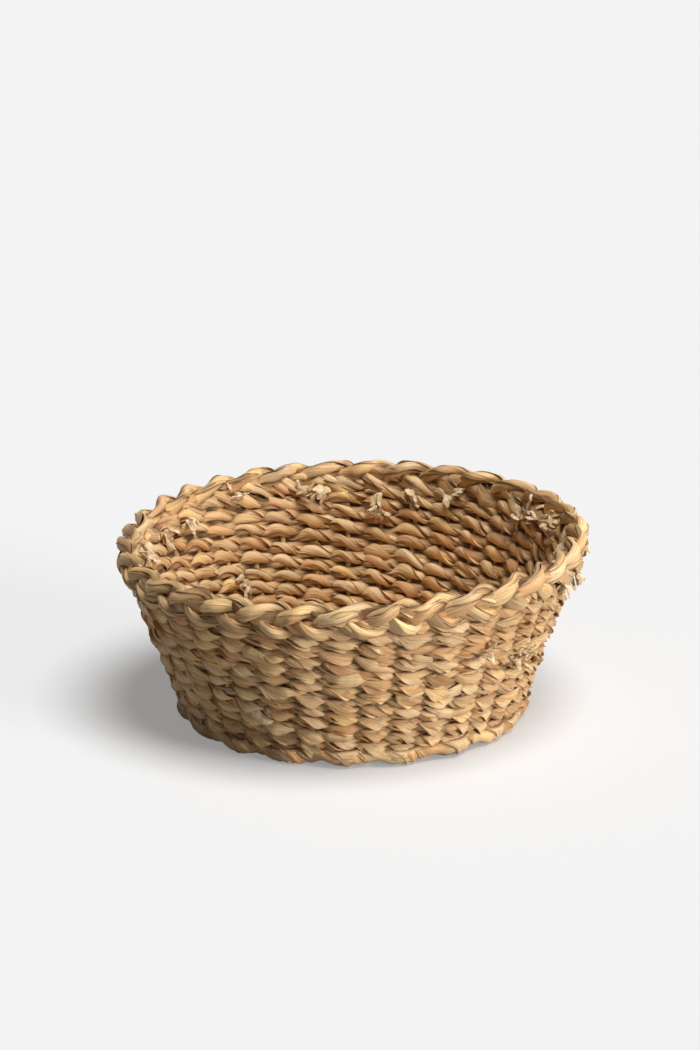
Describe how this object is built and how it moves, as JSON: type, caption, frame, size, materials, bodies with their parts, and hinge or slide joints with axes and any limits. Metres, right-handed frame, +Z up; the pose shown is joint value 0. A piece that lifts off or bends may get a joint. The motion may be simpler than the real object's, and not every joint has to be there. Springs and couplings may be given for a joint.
{
  "type": "woven basket",
  "caption": "Round tapered basket hand-woven of twisted seagrass leaf, with a plaited rim, for bread, fruit or small things",
  "frame": {"origin": "middle of the underside of the foot, on the surface that the basket stands on", "axes": "+Z is up through the open mouth, +X and +Y are level, and the picture looks along +Y"},
  "size_m": [0.2993, 0.2996, 0.12],
  "materials": {
    "stake_leaf": "twisted dry leaf, matt",
    "weaver_leaf": "dry leaf, satin with fine lengthwise streaks",
    "base_leaf": "dry leaf, matt",
    "rim_leaf": "plaited dry leaf, satin"
  },
  "bodies": {
    "root": {"cross_spoke_1": "stake_leaf", "long_spoke_1": "stake_leaf", "cross_spoke_2": "stake_leaf", "long_spoke_2": "stake_leaf", "cross_spoke_3": "stake_leaf", "long_spoke_3": "stake_leaf", "cross_spoke_4": "stake_leaf", "long_spoke_4": "stake_leaf", "cross_spoke_5": "stake_leaf", "long_spoke_5": "stake_leaf", "cross_spoke_6": "stake_leaf", "long_spoke_6": "stake_leaf", "cross_spoke_7": "stake_leaf", "long_spoke_7": "stake_leaf", "cross_spoke_8": "stake_leaf", "long_spoke_8": "stake_leaf", "cross_spoke_9": "stake_leaf", "long_spoke_9": "stake_leaf", "added_stake": "stake_leaf", "base_weaver_1": "base_leaf", "base_weaver_2": "base_leaf", "base_weaver_3": "base_leaf", "foot_round": "base_leaf", "wall_weaver_1": "weaver_leaf", "wall_weaver_2": "weaver_leaf", "wall_weaver_3": "weaver_leaf", "wall_weaver_4": "weaver_leaf", "wall_weaver_5": "weaver_leaf", "wall_weaver_6": "weaver_leaf", "rim_strand_1": "rim_leaf", "rim_strand_2": "rim_leaf", "rim_strand_3": "rim_leaf"}
  },
  "joints": []
}
